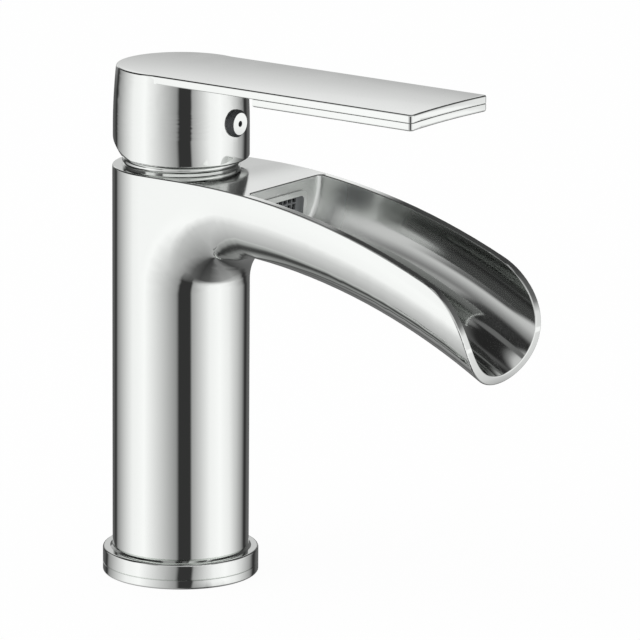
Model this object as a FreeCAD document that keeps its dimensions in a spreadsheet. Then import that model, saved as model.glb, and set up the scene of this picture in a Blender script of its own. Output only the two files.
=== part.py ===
import FreeCAD, Part
import math
import os
import re
import Sketcher

# A single-lever waterfall basin mixer.
# Its origin is where the column's axis meets the basin deck.
# The spout and the lever point along +X, +Z is up, and the tap mirrors about the XZ plane.

doc = FreeCAD.newDocument("basin_mixer")
sheet = doc.addObject("Spreadsheet::Sheet", "Sizes")

# Driving dimensions, in millimetres
SIZES = [
    # Column and half-pipe spout
    ("rim_height", 137.0, "deck to the flat rim of the column"),
    ("rim_wall", 3.15, "wall of the column round the dome"),
    ("spout_arc_radius", 247.0, "radius of the spout's top edge, seen from the side"),
    ("arc_start", 18.0, "column axis to where the top edge starts to fall"),
    ("wall_rise", 3.3, "straight stretch of the spout's side walls above the half-pipe"),
    ("spout_wall", 3.2, "wall of the half-pipe"),
    ("underside_blend", 12.0, "hollow radius between column and spout"),
    ("spout_reach", 129.0, "column axis to the front of the lip"),
    ("nose_radius", 26.0, "rounded front of the side walls, seen from the side"),
    ("lip_radius", 32.0, "curve of the lip as it runs back under itself"),
    ("trough_back", 42.0, "column axis to the top of the trough's back wall"),
    ("trough_corner", 2.0, "rounded corner between back wall and side walls"),
    ("edge_round", 0.5, "broken edges of the casting"),
    ("foot_bevel", 0.5, "bevel at the foot of the column"),
    # Base ring and its seals
    ("base_ring_ledge", 3.2, "how far the base ring stands out from the column"),
    ("base_ring_height", 8.4, "height of the base ring"),
    ("base_ring_round", 0.7, "rounded edges of the base ring"),
    ("seat_rise", 0.5, "raised seat of the column on the base ring"),
    ("seat_bevel", 0.8, "bevel round the raised seat"),
    ("seam_height", 3.2, "deck to the fine line round the base ring"),
    ("seam_width", 0.4, "width of that line"),
    ("seam_depth", 0.4, "depth of that line"),
    ("spigot_step", 2.1, "step from the column in to its spigot"),
    ("spigot_fit", 0.1, "room between spigot and base ring"),
    ("gasket_inset", 1.1, "bore of the base ring to its gasket"),
    ("gasket_width", 2.6, "width of the base gasket"),
    ("gasket_height", 1.8, "height of the base gasket"),
    ("base_oring_section", 0.8, "section radius of the base ring's o-ring"),
    ("base_oring_height", 4.5, "deck to the middle of that o-ring"),
    ("oring_room", 0.06, "room round an o-ring in its groove"),
    # Inlets and fixing hole in the underside
    ("inlet_front", 3.5, "column axis to the inlets, along the spout"),
    ("inlet_side", 6.2, "column axis to each inlet, sideways"),
    ("inlet_thread_radius", 4.5, "wall of the inlet thread"),
    ("inlet_thread_depth", 14.0, "depth of the inlet thread"),
    ("stud_back", 9.0, "column axis to the fixing hole"),
    ("stud_thread_radius", 3.4, "wall of the fixing thread"),
    ("stud_thread_depth", 16.0, "depth of the fixing thread"),
    ("port_radius", 2.2, "water ports"),
    # Water channel from the cartridge to the outlet
    ("outlet_back", 6.5, "column axis to the cartridge's outlet port"),
    ("channel_front", 20.5, "column axis to the front of the water channel, below the floor"),
    ("channel_wall", 1.8, "wall between water channel and chamber"),
    ("riser_setback", 9.0, "top of the trough's back wall to the channel behind it"),
    ("riser_length", 7.0, "length of the channel where it meets the outlet"),
    ("plenum_depth", 14.5, "depth of the outlet's opening in the back wall"),
    ("channel_width", 5.0, "width of the water channel"),
    ("channel_depth", 6.0, "depth of the water channel below the floor"),
    # Cartridge
    ("cartridge_fit", 0.1, "room round the cartridge"),
    ("cartridge_base_height", 6.0, "height of the cartridge base"),
    ("seal_room", 0.3, "water port to the seal round it"),
    ("seal_wall", 1.1, "wall of a port seal"),
    ("port_seal_height", 1.5, "height of a port seal"),
    ("disc_seal_height", 1.2, "height of a disc seal"),
    ("fixed_disc_height", 3.0, "thickness of the fixed disc"),
    ("housing_bore", 13.1, "inside radius of the cartridge housing"),
    ("housing_wall", 4.4, "wall of the cartridge housing"),
    ("shoulder_height", 14.0, "fixed disc's underside to the shoulder under the nut"),
    ("neck_wall", 1.1, "wall of the housing's neck inside the nut"),
    ("neck_rise", 4.0, "stem pin to the top of the neck"),
    ("lip_height", 2.5, "thickness of the housing's top lip"),
    ("cartridge_oring_section", 0.85, "section radius of the cartridge o-ring"),
    ("cartridge_oring_drop", 3.5, "shoulder down to the middle of that o-ring"),
    ("limit_ring_wall", 2.5, "width of the limit ring"),
    ("limit_ring_height", 2.0, "height of the limit ring"),
    ("disc_room", 0.968, "room beside the moving disc at the ends of its travel"),
    ("moving_disc_height", 3.5, "thickness of the moving disc"),
    ("mixing_radius", 5.2, "hollow under the moving disc"),
    ("mixing_depth", 1.8, "depth of that hollow"),
    ("mixing_back", 0.7, "middle of the disc to the middle of that hollow"),
    ("disc_film", 0.05, "water film between the discs"),
    ("carrier_step", 0.2, "how far the disc carrier overhangs the moving disc"),
    ("carrier_height", 5.5, "height of the disc carrier"),
    ("carrier_floor", 0.9, "floor under the carrier's pocket"),
    ("slide_travel", 3.264, "travel of the discs when the lever is lifted"),
    ("moving_gap", 0.35, "room between pieces that pass each other"),
    # Rotor, pin and stem
    ("rotor_fit", 0.3, "room round the rotor in the housing"),
    ("collar_step", 1.8, "step from the rotor in to its collar"),
    ("rotor_proud", 0.6, "how far the rotor stands out of the housing"),
    ("slot_half", 6.4, "half the length of the rotor's slot"),
    ("pin_radius", 2.0, "radius of the stem pin"),
    ("pin_inset", 1.5, "end of the stem pin to the side of the rotor's collar"),
    ("pin_fit", 0.04, "room round the stem pin"),
    ("stem_half", 4.0, "half the side of the square stem"),
    ("stem_hub", 4.6, "radius of the stem round its pin"),
    ("stem_headroom", 3.5, "top of the stem to the roof inside the handle"),
    ("stem_bevel", 0.6, "bevelled top of the stem"),
    ("foot_arm", 11.0, "stem pin down to the middle of the stem's foot"),
    ("foot_radius", 2.2, "radius of the stem's foot"),
    ("leg_half", 1.5, "half the thickness of the stem's leg"),
    # Ring nut and dome
    ("nut_step", 0.85, "step from the cartridge's bore out to the ring nut"),
    ("nut_fit", 0.05, "room round the ring nut and the dome"),
    ("nut_height", 3.0, "height of the nut's threaded rim"),
    ("nut_wall", 1.2, "housing's neck to the flats of the nut's hexagon"),
    ("nut_hex_height", 6.0, "height of the hexagon"),
    ("dome_step", 0.8, "step from the nut's bore out to the trim dome"),
    ("dome_wall", 1.0, "wall of the trim dome"),
    ("dome_depth", 3.0, "how deep the dome sits in the column"),
    ("dome_rise", 1.0, "rim to the middle of the dome's round"),
    ("dome_height", 11.5, "that middle to the opening in the dome"),
    ("bead_gap", 0.4, "rim to the bead round the dome"),
    ("bead_radius", 1.57, "section radius of that bead"),
    ("bead_recess", 0.45, "how far the dome is necked in above and below the bead"),
    ("dome_oring_section", 0.3, "section radius of the dome's o-ring"),
    # Outlet in the trough's back wall
    ("outlet_drop", 10.2, "top of the back wall to the middle of the outlet"),
    ("outlet_half_length", 12.6, "half the length of the outlet frame"),
    ("outlet_half_height", 6.6, "half the height of the outlet frame"),
    ("outlet_corner", 3.6, "rounded corner of the outlet frame"),
    ("frame_band", 1.8, "width of the outlet frame"),
    ("frame_depth", 3.0, "how deep the frame sits in the wall"),
    ("frame_proud", 0.6, "how far the frame stands out of the wall"),
    ("frame_fit", 0.05, "room round the frame"),
    ("outlet_gasket_height", 0.8, "thickness of the gasket behind the frame"),
    ("grid_setback", 0.8, "back wall to the front of the outlet grid"),
    ("grid_thickness", 0.9, "thickness of the outlet grid"),
    ("grid_edge", 0.25, "edge of the grid above its top row of holes"),
    ("grid_bar", 0.55, "width of a bar between the holes"),
    # Handle and lever
    ("handle_height", 33.0, "rim to the top of the handle"),
    ("skirt_wall", 2.6, "wall of the handle's skirt"),
    ("barrel_swell", 1.05, "how far the handle's side swells out below its top"),
    ("barrel_radius", 200.0, "curve of that side, seen from the side"),
    ("lever_reach", 106.9, "column axis to the lever's tip"),
    ("lever_half_width", 20.7, "half the width of the lever"),
    ("lever_thickness", 5.3, "thickness of the lever at its grip"),
    ("lever_corner", 1.4, "rounded corners of the lever's tip"),
    ("lever_hollow", 212.0, "hollow curve of the lever's tip, seen from above"),
    ("lever_plate", 2.8, "thickness of the lever where it leaves the knob"),
    ("grip_start", 44.5, "column axis to the start of the lever's thicker grip"),
    ("grip_round", 0.8, "rounded lower edges of the grip"),
    ("skirt_front_gap", 2.7, "rim to the skirt in front"),
    ("skirt_middle_gap", 3.9, "rim to the skirt where its rear relief starts"),
    ("skirt_rear_gap", 7.5, "rim to the skirt at the rear"),
    ("relief_back", 9.0, "column axis back to the start of the rear relief"),
    ("dome_gap", 0.4, "room between the dome and the inside of the skirt"),
    ("cavity_height", 15.0, "rim to where the skirt's inside narrows"),
    ("cavity_taper", 2.7, "how far the inside narrows up to its roof"),
    ("handle_cap", 6.5, "thickness of the handle's top over its hollow"),
    ("skirt_land", 1.4, "width of the skirt's lower edge at the rear"),
    ("sweep_radius", 17.7, "rounded rear of the skirt, seen from the side"),
    ("sweep_height", 7.3, "height of that rounding"),
    ("sweep_width", 4.0, "width of that rounding"),
    ("handle_round", 0.5, "broken edges of the handle"),
    ("skirt_round", 0.6, "rounded lower edge of the skirt, in front"),
    ("socket_radius", 7.5, "boss round the stem"),
    ("socket_gap", 0.5, "opening in the dome to the lower end of that boss"),
    ("socket_fit", 0.05, "room round the stem in its socket"),
    ("screw_rise", 3.8, "opening in the dome to the axis of plug and grub screw"),
    ("screw_radius", 2.5, "radius of the grub screw"),
    ("screw_length", 9.0, "length of the grub screw"),
    ("screw_key_radius", 1.3, "hexagon key hole of the grub screw"),
    ("screw_key_depth", 3.0, "depth of that hole"),
    ("screw_boss_wall", 0.8, "wall of the boss round the grub screw"),
    ("plug_radius", 4.5, "radius of the index plug"),
    ("plug_depth", 3.3, "how deep the plug sits in the handle"),
    ("plug_proud", 1.8, "how far the plug stands out of the handle"),
    ("plug_bevel", 0.9, "bevelled face of the plug"),
    ("plug_hole", 1.0, "radius of the hole in the plug's face"),
    ("plug_hole_depth", 1.6, "depth of that hole"),
    ("plug_fit", 0.05, "room round the plug"),
    ("plug_boss_wall", 1.1, "wall of the boss round the plug"),
    ("overrun", 1.0, "how far a cut runs past its piece"),
]

# Rows of holes in the outlet grid
GRID_ROWS = 4

# Sizes and places worked out from the driving dimensions, each from those above it
PLACES = {
    # Rings about the column's axis, from the cartridge outwards
    "cartridge_radius": "housing_bore + housing_wall",
    "cartridge_bore": "cartridge_radius + cartridge_fit",
    "nut_radius": "cartridge_bore + nut_step",
    "nut_bore": "nut_radius + nut_fit",
    "dome_radius": "nut_bore + dome_step",
    "dome_bore_wall": "dome_radius - dome_wall",
    "dome_bore": "dome_radius + nut_fit",
    "column_radius": "dome_bore + rim_wall",
    "spigot_radius": "column_radius - spigot_step",
    "ring_bore": "spigot_radius + spigot_fit",
    "gasket_inner": "ring_bore + gasket_inset",
    "gasket_outer": "gasket_inner + gasket_width",
    "base_ring_radius": "column_radius + base_ring_ledge",
    "cavity_radius": "dome_radius + dome_gap",
    "cavity_roof_radius": "cavity_radius - cavity_taper",
    "handle_radius": "cavity_radius + skirt_wall",
    "handle_top_radius": "handle_radius - barrel_swell",
    # Inside the cartridge
    "seal_outer": "port_radius + seal_room + seal_wall",
    "fixed_disc_radius": "housing_bore - cartridge_fit",
    "disc_centre": "-slide_travel / 2",
    "moving_disc_radius": "housing_bore - slide_travel / 2 - disc_room",
    "carrier_radius": "moving_disc_radius + carrier_step",
    "rotor_radius": "housing_bore - rotor_fit",
    "rotor_collar": "rotor_radius - collar_step",
    "lip_opening": "rotor_collar + rotor_fit",
    "pin_half": "rotor_collar - pin_inset",
    "neck_radius": "housing_bore + neck_wall",
    "nut_hex_half": "neck_radius + nut_wall",
    "pocket_half": "foot_radius + moving_gap",
    "socket_half": "stem_half + socket_fit",
    # Levels, from the rim down to the chamber's floor and up through the cartridge
    "column_foot": "base_ring_height + seat_rise",
    "dome_floor": "rim_height - dome_depth",
    "shoulder": "dome_floor - nut_height",
    "disc_floor": "shoulder - shoulder_height",
    "chamber_floor": "disc_floor - cartridge_base_height",
    "film_height": "disc_floor + fixed_disc_height",
    "moving_floor": "film_height + disc_film",
    "carrier_base": "moving_floor + moving_disc_height",
    "carrier_top": "carrier_base + carrier_height",
    "rotor_floor": "carrier_top + moving_gap",
    "foot_height": "carrier_base + carrier_floor + moving_gap + foot_radius",
    "pivot_height": "foot_height + foot_arm",
    "neck_height": "pivot_height + neck_rise",
    "rotor_shoulder": "neck_height - lip_height - moving_gap",
    "rotor_top": "neck_height + rotor_proud",
    # Levels of the dome and the handle
    "dome_middle": "rim_height + dome_rise",
    "dome_top": "dome_middle + dome_height",
    "waist_radius": "dome_radius - bead_recess",
    "waist_top": "dome_middle + sqrt(dome_radius ^ 2 - waist_radius ^ 2)",
    "bead_low": "rim_height + bead_gap",
    "bead_high": "bead_low + 2 * sqrt(bead_radius ^ 2 - (bead_radius - bead_recess) ^ 2)",
    "socket_low": "dome_top + socket_gap",
    "screw_height": "dome_top + screw_rise",
    "handle_top": "rim_height + handle_height",
    "barrel_drop": "sqrt(barrel_swell * (2 * barrel_radius - barrel_swell))",
    "barrel_height": "handle_top - handle_round - barrel_drop",
    "cavity_step": "rim_height + cavity_height",
    "cavity_roof": "handle_top - handle_cap",
    "stem_top": "cavity_roof - stem_headroom",
    "lever_under": "handle_top - lever_thickness",
    "plate_under": "handle_top - lever_plate",
    "relief_rise": "(skirt_rear_gap - skirt_middle_gap) / (handle_radius - relief_back)",
    "sweep_inner": "cavity_radius + skirt_land",
    "sweep_outer": "sweep_inner + sweep_width",
    "screw_boss": "screw_radius + screw_boss_wall",
    "plug_seat": "handle_radius - plug_depth",
    "plug_boss": "plug_radius + plug_boss_wall",
    # O-rings
    "base_oring_radius": "ring_bore - oring_room - base_oring_section",
    "cartridge_oring_height": "shoulder - cartridge_oring_drop",
    "cartridge_oring_radius": "cartridge_bore - oring_room - cartridge_oring_section",
    "dome_oring_height": "rim_height - dome_depth / 2",
    "dome_oring_radius": "dome_bore - oring_room - dome_oring_section",
    # Spout: sines and cosines are those of the angle that it has bent through
    "trough_radius": "column_radius - spout_wall",
    "axis_bend": "column_radius + underside_blend",
    "axis_arc": "spout_arc_radius - wall_rise",
    "arc_floor": "rim_height - spout_arc_radius",
    "join_sin": "(axis_bend - arc_start) / (axis_arc - axis_bend)",
    "join_cos": "sqrt(1 - join_sin * join_sin)",
    "bend_floor": "arc_floor + (axis_arc - axis_bend) * join_cos",
    "tip_sin": "(spout_reach - arc_start) / (axis_arc - column_radius)",
    "tip_cos": "sqrt(1 - tip_sin * tip_sin)",
    "tip_floor": "arc_floor + (axis_arc - column_radius) * tip_cos",
    "nose_sin": "(spout_reach - nose_radius - arc_start) / (spout_arc_radius - nose_radius)",
    "nose_cos": "sqrt(1 - nose_sin * nose_sin)",
    "nose_floor": "arc_floor + (spout_arc_radius - nose_radius) * nose_cos",
    "lip_drop": "nose_floor - tip_floor + overrun",
    "back_sin": "(trough_back - arc_start) / spout_arc_radius",
    "back_cos": "sqrt(1 - back_sin * back_sin)",
    "riser_front": "trough_back - riser_setback",
    "riser_back": "riser_front - riser_length",
    # Outlet
    "outlet_middle": "spout_arc_radius - outlet_drop",
    "opening_half_length": "outlet_half_length - frame_band",
    "opening_half_height": "outlet_half_height - frame_band",
    "opening_corner": "outlet_corner - frame_band",
    "grid_pitch": f"(2 * (opening_half_height - grid_edge) + grid_bar) / {GRID_ROWS}",
}

rows = [(alias, str(number), meaning) for alias, number, meaning in SIZES]
rows += [(alias, "=" + formula, "worked out") for alias, formula in PLACES.items()]
for row, (alias, content, meaning) in enumerate(rows, start=1):
    sheet.set(f"A{row}", meaning)
    sheet.set(f"B{row}", content)
    sheet.setAlias(f"B{row}", alias)
doc.recompute()
NAMES = {alias for alias, content, meaning in rows}


def bound(text):
    """The text of a size, with the sheet's name before each of its names."""
    def in_full(found):
        word = found.group()
        return "Sizes." + word if word in NAMES else word
    return re.sub(r"[a-z][a-z_]*", in_full, text)


def size(text):
    """The number that a size's text stands for."""
    result = sheet.evalExpression(bound(text))
    return getattr(result, "Value", result)


def bind(thing, **sizes):
    """Binds the named properties of a document object to sizes."""
    for name, text in sizes.items():
        thing.setExpression(name, bound(text))
    return thing


def new_body(name):
    """An empty body for one piece."""
    body = doc.addObject("PartDesign::Body", name)
    body.Label = name
    return body


def new_sketch(body, plane, right="0", up="0", lift="0", lean=None, turn=None):
    """A sketch on a plane of its body, moved in it, lifted off it, and leant about X or turned in it."""
    sketch = body.newObject("Sketcher::SketchObject", body.Label + "_sketch")
    planes = [item for item in body.Origin.OriginFeatures if item.Role == plane]
    sketch.AttachmentSupport = [(planes[0], "")]
    sketch.MapMode = "FlatFace"
    if lean or turn:
        axis = FreeCAD.Vector(1, 0, 0) if lean else FreeCAD.Vector(0, 0, 1)
        sketch.AttachmentOffset = FreeCAD.Placement(FreeCAD.Vector(), FreeCAD.Rotation(axis, 1))
        sketch.setExpression("AttachmentOffset.Rotation.Angle", bound(lean or turn))
    for name, text in (("x", right), ("y", up), ("z", lift)):
        sketch.setExpression("AttachmentOffset.Base." + name, bound(text))
    return sketch


def pin_down(sketch, piece, spot, across, along):
    """Fixes one point of a sketch by its two sizes, measured from the sketch's origin."""
    for kind, text, axis in (("DistanceX", across, -2), ("DistanceY", along, -1)):
        if text == "0":
            sketch.addConstraint(Sketcher.Constraint("PointOnObject", piece, spot, axis))
            continue
        number = sketch.addConstraint(Sketcher.Constraint(kind, -1, 1, piece, spot, size(text)))
        sketch.setExpression(f"Constraints[{number}]", bound(text))


def arc_between(here, there, radius, side):
    """The arc from one point to another; side is 1 where its centre lies to the left, else -1."""
    chord = there - here
    across = FreeCAD.Vector(-chord.y, chord.x, 0).normalize()
    centre = (here + there) / 2 + across * side * math.sqrt(max(radius ** 2 - (chord.Length / 2) ** 2, 0))
    first, last = (here, there) if side > 0 else (there, here)
    angles = [math.atan2(spot.y - centre.y, spot.x - centre.x) for spot in (first, last)]
    circle = Part.Circle(centre, FreeCAD.Vector(0, 0, 1), radius)
    return Part.ArcOfCircle(circle, *angles)


def outline(sketch, corners):
    """A closed outline. A corner with a radius and a side starts an arc, and any other a line."""
    spots = [FreeCAD.Vector(size(corner[0]), size(corner[1]), 0) for corner in corners]
    pieces = []
    for corner, here, there in zip(corners, spots, spots[1:] + spots[:1]):
        if len(corner) == 2:
            pieces.append((sketch.addGeometry(Part.LineSegment(here, there), False), 1, 2))
            continue
        radius, side = corner[2:]
        number = sketch.addGeometry(arc_between(here, there, size(radius), side), False)
        pieces.append((number, 1, 2) if side > 0 else (number, 2, 1))
    for (piece, start, end), (after, after_start, after_end) in zip(pieces, pieces[1:] + pieces[:1]):
        sketch.addConstraint(Sketcher.Constraint("Coincident", piece, end, after, after_start))
    for corner, (piece, start, end) in zip(corners, pieces):
        pin_down(sketch, piece, start, corner[0], corner[1])
        if len(corner) > 2:
            number = sketch.addConstraint(Sketcher.Constraint("Radius", piece, size(corner[2])))
            sketch.setExpression(f"Constraints[{number}]", bound(corner[2]))
    return sketch


def circle(sketch, across, along, radius):
    """A circle about a fixed middle."""
    middle = FreeCAD.Vector(size(across), size(along), 0)
    piece = sketch.addGeometry(Part.Circle(middle, FreeCAD.Vector(0, 0, 1), size(radius)), False)
    pin_down(sketch, piece, 3, across, along)
    number = sketch.addConstraint(Sketcher.Constraint("Radius", piece, size(radius)))
    sketch.setExpression(f"Constraints[{number}]", bound(radius))
    return sketch


def feature(kind, sketch, axis=None, symmetric=False, backwards=False, **sizes):
    """A pad, pocket, revolution or groove of a sketch, with its sizes bound."""
    body = sketch.getParentGeoFeatureGroup()
    made = body.newObject("PartDesign::" + kind, f"{body.Label}_{kind.lower()}")
    made.Profile = sketch
    if axis:
        made.ReferenceAxis = (sketch, [axis])
    if symmetric:
        made.SideType = "Symmetric"
    made.Reversed = backwards
    bind(made, **sizes)
    volume = made.BaseFeature.Shape.Volume if made.BaseFeature else 0
    doc.recompute()
    changed = made.Shape.Volume - volume
    cuts = kind in ("Pocket", "Groove")
    if made.Shape.isNull() or not made.Shape.isValid() or (changed >= 0 if cuts else changed <= 0):
        raise RuntimeError(f"{made.Name} changes nothing or failed")
    return made


def turned(name, corners):
    """A piece turned about the column's axis from its half section."""
    body = new_body(name)
    feature("Revolution", outline(new_sketch(body, "XZ_Plane"), corners), axis="V_Axis", Angle="360")
    return body


def seal_ring(name, ring_radius, section, height):
    """A rubber o-ring about the column's axis."""
    ring = doc.addObject("Part::Torus", name)
    ring.Label = name
    bind(ring, Radius1=ring_radius, Radius2=section)
    ring.setExpression("Placement.Base.z", bound(height))
    return ring


def rounded(body, radius, chosen, kind="Fillet"):
    """Rounds or bevels the edges of a body that the test picks."""
    shape = body.Tip.Shape
    names = [f"Edge{number}" for number, edge in enumerate(shape.Edges, start=1) if chosen(edge)]
    if not names:
        raise RuntimeError(f"no edge to round on {body.Label}")
    base = body.Tip
    made = body.newObject("PartDesign::" + kind, f"{body.Label}_{kind.lower()}")
    made.Base = (base, names)
    bind(made, **{"Radius" if kind == "Fillet" else "Size": radius})
    doc.recompute()
    if made.Shape.isNull() or not made.Shape.isValid():
        raise RuntimeError(f"{made.Name} failed")
    return made


def oblong(half_length, half_height, corner, middle):
    """The corners of an oblong with rounded corners, about a middle on the sketch's Y axis."""
    straight = f"({half_length} - ({corner}))"
    low = f"{middle} - ({half_height})"
    high = f"{middle} + {half_height}"
    return [
        (f"-{straight}", low),
        (straight, low, corner, 1),
        (half_length, f"{low} + {corner}"),
        (half_length, f"{high} - ({corner})", corner, 1),
        (straight, high),
        (f"-{straight}", high, corner, 1),
        (f"-({half_length})", f"{high} - ({corner})"),
        (f"-({half_length})", f"{low} + {corner}", corner, 1),
    ]


def oblong_box(half_length, half_width, middle):
    """The corners of a rectangle about a middle on the sketch's Y axis."""
    low = f"{middle} - {half_width}"
    high = f"{middle} + {half_width}"
    return [(f"-{half_length}", low), (half_length, low), (half_length, high), (f"-{half_length}", high)]


SAME_SHARE = 1e-4
EDGE_SPOTS = 9


def near(number, other):
    """Whether a number equals another number or a size, within a small share of the column's radius."""
    other = size(other) if isinstance(other, str) else other
    return abs(number - other) < size("column_radius") * SAME_SHARE


def spread(edge):
    """The box of an edge, taken from points along it."""
    spots = edge.discretize(EDGE_SPOTS)
    lows = FreeCAD.Vector(*(min(getattr(spot, axis) for spot in spots) for axis in "xyz"))
    highs = FreeCAD.Vector(*(max(getattr(spot, axis) for spot in spots) for axis in "xyz"))
    return lows, highs


def wall_sketch(body, depth="0"):
    """A sketch on the trough's back wall, or a depth behind it."""
    lift = f"arc_start - ({depth}) * back_cos"
    up = f"arc_floor + ({depth}) * back_sin"
    return new_sketch(body, "YZ_Plane", up=up, lift=lift, lean="asin(back_sin)")


def on_back_wall(spot):
    """Whether a point lies in the plane of the trough's back wall."""
    lean = size("back_sin")
    across = spot.x - size("arc_start")
    return near((across * math.sqrt(1 - lean ** 2) - (spot.z - size("arc_floor")) * lean), "0")


def arc_distance(spot):
    """The distance of a point from the axis that the spout bends about."""
    return math.hypot(spot.x - size("arc_start"), spot.z - size("arc_floor"))


def on_rim(spot):
    """Whether a point lies on the casting's rim: its top, the spout's top edge, its nose or its lip."""
    if near(spot.z, "rim_height"):
        return math.hypot(spot.x, spot.y) > size("(dome_bore + column_radius) / 2")
    if spot.x > size("arc_start") and near(arc_distance(spot), "spout_arc_radius"):
        return True
    if spot.x < size("spout_reach - nose_radius"):
        return False
    radius = "nose_radius" if spot.z > size("nose_floor") else "lip_radius"
    return near(math.hypot(spot.x - size(f"spout_reach - {radius}"), spot.z - size("nose_floor")), radius)


# Body casting: the column, the half-pipe spout that grows out of it, and the waterways
def body_casting():
    body = new_body("body_casting")
    column = [
        ("0", "0"),
        ("spigot_radius", "0"),
        ("spigot_radius", "base_oring_height - base_oring_section - oring_room"),
        ("base_oring_radius - base_oring_section - oring_room",
         "base_oring_height - base_oring_section - oring_room"),
        ("base_oring_radius - base_oring_section - oring_room",
         "base_oring_height + base_oring_section + oring_room"),
        ("spigot_radius", "base_oring_height + base_oring_section + oring_room"),
        ("spigot_radius", "column_foot"),
        ("column_radius - foot_bevel", "column_foot"),
        ("column_radius", "column_foot + foot_bevel"),
        ("column_radius", "rim_height"),
        ("0", "rim_height"),
    ]
    feature("Revolution", outline(new_sketch(body, "XZ_Plane"), column), axis="V_Axis", Angle="360")

    # Flat sides between the column's axis, the half-pipe's axis and the top edge
    cheek = [
        ("0", "bend_floor", "axis_bend", -1),
        ("axis_bend * (1 + join_sin)", "bend_floor + axis_bend * join_cos", "axis_arc", -1),
        ("arc_start + axis_arc * tip_sin", "arc_floor + axis_arc * tip_cos"),
        ("arc_start + spout_arc_radius * tip_sin", "arc_floor + spout_arc_radius * tip_cos",
         "spout_arc_radius", 1),
        ("arc_start", "rim_height"),
        ("0", "rim_height"),
    ]
    sketch = outline(new_sketch(body, "XZ_Plane"), cheek)
    feature("Pad", sketch, symmetric=True, Length="2 * column_radius")

    # Half-round front of the column, bent over into the spout
    bend = [
        ("-axis_bend", "-column_radius", "column_radius", 1),
        ("-underside_blend", "0", "column_radius", 1),
        ("-axis_bend", "column_radius"),
    ]
    sketch = outline(new_sketch(body, "XY_Plane", right="axis_bend", lift="bend_floor"), bend)
    feature("Revolution", sketch, axis="V_Axis", Angle="90 deg + asin(join_sin)")

    # Half-round underside of the spout
    half_pipe = [
        ("-column_radius", "axis_arc", "column_radius", 1),
        ("0", "axis_arc - column_radius", "column_radius", 1),
        ("column_radius", "axis_arc"),
    ]
    sketch = new_sketch(body, "YZ_Plane", up="arc_floor", lift="arc_start", lean="asin(join_sin)")
    outline(sketch, half_pipe)
    feature("Revolution", sketch, axis="H_Axis", Angle="asin(tip_sin) - asin(join_sin)")

    # Top edge of the spout, rounded front of its walls, and the lip that runs back under itself
    nose = [
        ("arc_start", "rim_height", "spout_arc_radius", -1),
        ("arc_start + spout_arc_radius * nose_sin", "arc_floor + spout_arc_radius * nose_cos",
         "nose_radius", -1),
        ("spout_reach", "nose_floor", "lip_radius", -1),
        ("spout_reach - lip_radius + sqrt(lip_radius ^ 2 - lip_drop ^ 2)", "nose_floor - lip_drop"),
        ("spout_reach + column_radius", "nose_floor - lip_drop"),
        ("spout_reach + column_radius", "rim_height + overrun"),
        ("arc_start", "rim_height + overrun"),
    ]
    sketch = outline(new_sketch(body, "XZ_Plane"), nose)
    feature("Pocket", sketch, symmetric=True, Length="2 * (column_radius + overrun)")

    # The open trough
    trough = [
        ("-trough_radius", "axis_arc", "trough_radius", 1),
        ("0", "axis_arc - trough_radius", "trough_radius", 1),
        ("trough_radius", "axis_arc"),
        ("trough_radius", "spout_arc_radius + overrun"),
        ("-trough_radius", "spout_arc_radius + overrun"),
    ]
    sketch = outline(wall_sketch(body), trough)
    feature("Groove", sketch, axis="H_Axis", Angle="asin(tip_sin) - asin(back_sin)")

    # Stepped chamber for cartridge, ring nut and dome
    chamber = [
        ("0", "chamber_floor"),
        ("cartridge_bore", "chamber_floor"),
        ("cartridge_bore", "shoulder"),
        ("nut_bore", "shoulder"),
        ("nut_bore", "dome_floor"),
        ("dome_bore", "dome_floor"),
        ("dome_bore", "rim_height + overrun"),
        ("0", "rim_height + overrun"),
    ]
    feature("Groove", outline(new_sketch(body, "XZ_Plane"), chamber), axis="V_Axis", Angle="360")

    # Water channel from the cartridge's outlet, forward and up to the back wall of the trough
    channel = [
        ("-outlet_back - port_radius", "chamber_floor - channel_depth"),
        ("channel_front", "chamber_floor - channel_depth"),
        ("riser_front", "rim_height - outlet_drop"),
        ("riser_back", "rim_height - outlet_drop"),
        ("cartridge_bore + channel_wall", "chamber_floor"),
        ("-outlet_back - port_radius", "chamber_floor"),
    ]
    sketch = outline(new_sketch(body, "XZ_Plane"), channel)
    feature("Pocket", sketch, symmetric=True, Length="channel_width")
    opening = oblong("opening_half_length", "opening_half_height", "opening_corner", "outlet_middle")
    feature("Pocket", outline(wall_sketch(body), opening), Length="plenum_depth")
    seat = oblong("outlet_half_length + frame_fit", "(outlet_half_height + frame_fit)",
                  "(outlet_corner + frame_fit)", "outlet_middle")
    feature("Pocket", outline(wall_sketch(body), seat), Length="frame_depth + outlet_gasket_height")

    # Inlets and fixing hole
    sketch = new_sketch(body, "XY_Plane")
    for side in ("inlet_side", "-inlet_side"):
        circle(sketch, "inlet_front", side, "port_radius")
    feature("Pocket", sketch, backwards=True, Length="chamber_floor")
    sketch = new_sketch(body, "XY_Plane")
    for side in ("inlet_side", "-inlet_side"):
        circle(sketch, "inlet_front", side, "inlet_thread_radius")
    feature("Pocket", sketch, backwards=True, Length="inlet_thread_depth")
    sketch = circle(new_sketch(body, "XY_Plane"), "-stud_back", "0", "stud_thread_radius")
    feature("Pocket", sketch, backwards=True, Length="stud_thread_depth")

    # Rounded hollow between the trough's back wall, its sides and its bottom
    def hollow(edge):
        spots = edge.discretize(EDGE_SPOTS)
        wide = max(abs(spot.y) for spot in spots)
        deep = min(arc_distance(spot) for spot in spots)
        on_side = near(wide, "trough_radius") and deep < size("spout_arc_radius - wall_rise / 2")
        return on_side and all(on_back_wall(spot) for spot in spots)

    rounded(body, "trough_corner", hollow)

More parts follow.
